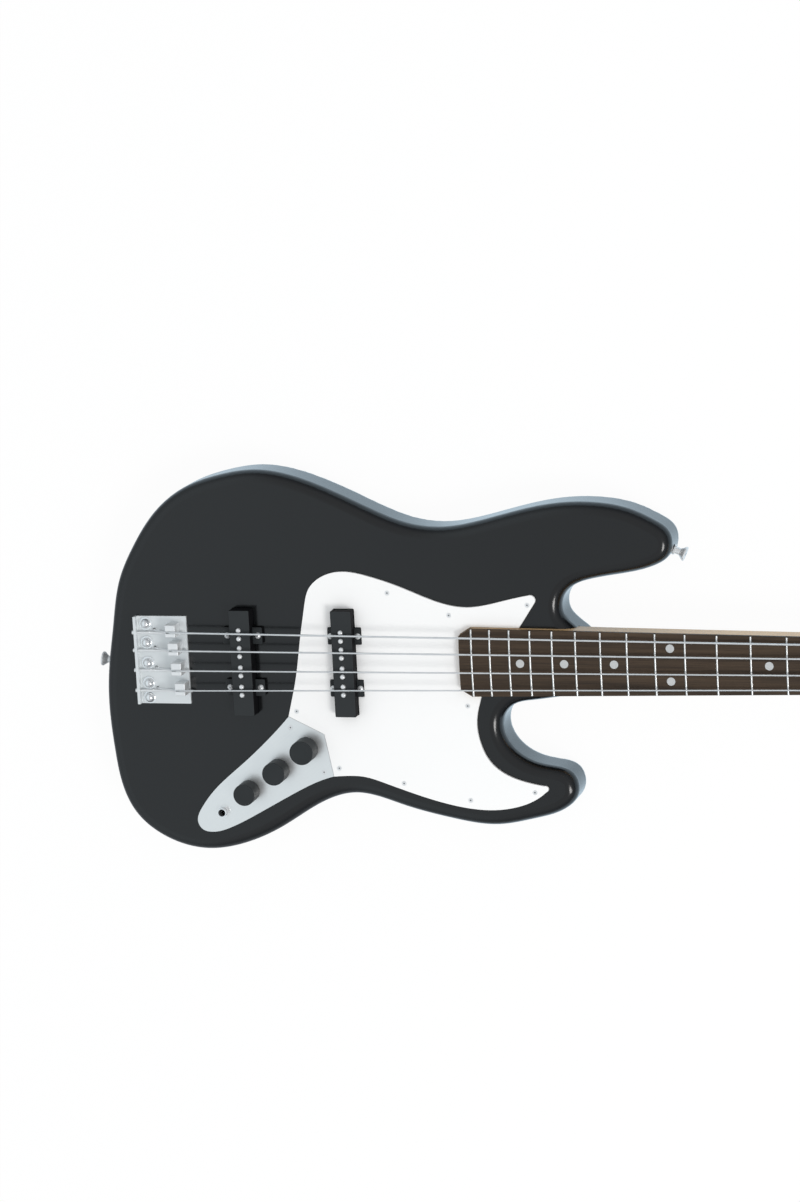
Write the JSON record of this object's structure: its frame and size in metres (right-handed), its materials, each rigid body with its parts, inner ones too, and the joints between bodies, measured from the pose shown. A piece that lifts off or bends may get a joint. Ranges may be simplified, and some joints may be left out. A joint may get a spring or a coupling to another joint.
{
  "type": "electric bass guitar",
  "caption": "Solid-body electric bass guitar with offset double cutaway, white pickguard, metal control plate, turning knobs, sliding saddles and geared tuners.",
  "frame": {"origin": "on the flat back of the body, straight under the scale line at the middle of the strings", "axes": "+X along the strings towards the headstock, +Y towards the thickest string, +Z out of the face"},
  "size_m": [1.1501, 0.3396, 0.0643],
  "materials": {
    "body_lacquer": "black lacquer, satin gloss, over solid wood",
    "guard_plastic": "white sheet, smooth",
    "plate_metal": "plated sheet, satin",
    "bridge_metal": "bent sheet, plated",
    "saddle_steel": "milled block, satin",
    "chrome_metal": "bright plating",
    "screw_steel": "plain steel",
    "pickup_plastic": "moulded, fine matt",
    "knob_plastic": "moulded, satin",
    "neck_wood": "pale maple, satin lacquer",
    "board_wood": "dark open-grained wood, oiled",
    "fret_metal": "polished wire",
    "marker_plastic": "pale inlay, level with the board",
    "nut_bone": "polished bone white",
    "string_steel": "round wound wire",
    "brass_metal": "turned",
    "coil_bobbin": "wound and waxed",
    "foam_rubber": "open foam",
    "wire_sleeve": "sleeved wire",
    "capacitor_ceramic": "dipped disc"
  },
  "bodies": {
    "frame": {"body": "body_lacquer", "pickguard": "guard_plastic", "guard_screws": "screw_steel", "control_plate": "plate_metal", "potentiometers": "screw_steel", "control_nuts": "chrome_metal", "output_jack": "chrome_metal", "tone_capacitor": "capacitor_ceramic", "wiring": "wire_sleeve", "pickup_poles": "chrome_metal", "pickup_coils": "coil_bobbin", "pickup_foams": "foam_rubber", "pickup_screws": "chrome_metal", "bridge_plate": "bridge_metal", "bridge_screws": "chrome_metal", "intonation_screws": "screw_steel", "string_ferrules": "chrome_metal", "ball_ends": "brass_metal", "neck": "neck_wood", "truss_rod": "screw_steel", "fretboard": "board_wood", "frets": "fret_metal", "fret_markers": "marker_plastic", "nut": "nut_bone", "neck_plate": "chrome_metal", "neck_screws": "chrome_metal", "strap_buttons": "chrome_metal", "strap_button_screws": "chrome_metal", "headstock_screws": "chrome_metal", "string_tree": "chrome_metal", "bridge_pickup_cover": "pickup_plastic", "neck_pickup_cover": "pickup_plastic", "tuner_plates": "chrome_metal", "tuner_bushings": "chrome_metal", "string_e": "string_steel", "string_a": "string_steel", "string_d": "string_steel", "string_g": "string_steel"},
    "tone_knob_set": {"tone_knob": "knob_plastic", "tone_shaft": "screw_steel"},
    "bridge_volume_knob_set": {"bridge_volume_knob": "knob_plastic", "bridge_volume_shaft": "screw_steel"},
    "neck_volume_knob_set": {"neck_volume_knob": "knob_plastic", "neck_volume_shaft": "screw_steel"},
    "key_e": {"tuner_key_e": "chrome_metal"},
    "post_e": {"tuner_post_e": "chrome_metal", "winding_e": "string_steel"},
    "slider_e": {"saddle_e": "saddle_steel"},
    "key_a": {"tuner_key_a": "chrome_metal"},
    "post_a": {"tuner_post_a": "chrome_metal", "winding_a": "string_steel"},
    "slider_a": {"saddle_a": "saddle_steel"},
    "key_d": {"tuner_key_d": "chrome_metal"},
    "post_d": {"tuner_post_d": "chrome_metal", "winding_d": "string_steel"},
    "slider_d": {"saddle_d": "saddle_steel"},
    "key_g": {"tuner_key_g": "chrome_metal"},
    "post_g": {"tuner_post_g": "chrome_metal", "winding_g": "string_steel"},
    "slider_g": {"saddle_g": "saddle_steel"}
  },
  "joints": [
    {"name": "tone_knob_turn", "type": "hinge", "parent": "frame", "child": "tone_knob_set", "pos_m": [0.063, -0.11817, 0.0464], "axis": [0, 0, 1], "range_deg": [0, 300]},
    {"name": "bridge_volume_knob_turn", "type": "hinge", "parent": "frame", "child": "bridge_volume_knob_set", "pos_m": [0.091, -0.09885, 0.0464], "axis": [0, 0, 1], "range_deg": [0, 300]},
    {"name": "neck_volume_knob_turn", "type": "hinge", "parent": "frame", "child": "neck_volume_knob_set", "pos_m": [0.11751, -0.07952, 0.0464], "axis": [0, 0, 1], "range_deg": [0, 300]},
    {"name": "key_e_turn", "type": "hinge", "parent": "frame", "child": "key_e", "pos_m": [0.92356, 0.01807, 0.0225], "axis": [0.238, 0.9713, 0], "continuous": true},
    {"name": "post_e_turn", "type": "hinge", "parent": "frame", "child": "post_e", "pos_m": [0.912, 0.0209, 0.0225], "axis": [0, 0, 1], "continuous": true},
    {"name": "saddle_e_slide", "type": "slide", "parent": "frame", "child": "slider_e", "axis": [1, 0, 0], "range_m": [0, 0.004]},
    {"name": "key_a_turn", "type": "hinge", "parent": "frame", "child": "key_a", "pos_m": [0.96356, 0.00827, 0.0225], "axis": [0.238, 0.9713, 0], "continuous": true},
    {"name": "post_a_turn", "type": "hinge", "parent": "frame", "child": "post_a", "pos_m": [0.952, 0.0111, 0.0225], "axis": [0, 0, 1], "continuous": true},
    {"name": "saddle_a_slide", "type": "slide", "parent": "frame", "child": "slider_a", "axis": [1, 0, 0], "range_m": [0, 0.004]},
    {"name": "key_d_turn", "type": "hinge", "parent": "frame", "child": "key_d", "pos_m": [1.00356, -0.00153, 0.0225], "axis": [0.238, 0.9713, 0], "continuous": true},
    {"name": "post_d_turn", "type": "hinge", "parent": "frame", "child": "post_d", "pos_m": [0.992, 0.0013, 0.0225], "axis": [0, 0, 1], "continuous": true},
    {"name": "saddle_d_slide", "type": "slide", "parent": "frame", "child": "slider_d", "axis": [1, 0, 0], "range_m": [0, 0.004]},
    {"name": "key_g_turn", "type": "hinge", "parent": "frame", "child": "key_g", "pos_m": [1.04356, -0.01133, 0.0225], "axis": [0.238, 0.9713, 0], "continuous": true},
    {"name": "post_g_turn", "type": "hinge", "parent": "frame", "child": "post_g", "pos_m": [1.032, -0.0085, 0.0225], "axis": [0, 0, 1], "continuous": true},
    {"name": "saddle_g_slide", "type": "slide", "parent": "frame", "child": "slider_g", "axis": [1, 0, 0], "range_m": [0, 0.004]}
  ],
  "couplings": [
    {"joint": "post_e_turn", "follows": "key_e_turn", "ratio": -0.05},
    {"joint": "post_a_turn", "follows": "key_a_turn", "ratio": -0.05},
    {"joint": "post_d_turn", "follows": "key_d_turn", "ratio": -0.05},
    {"joint": "post_g_turn", "follows": "key_g_turn", "ratio": -0.05}
  ]
}
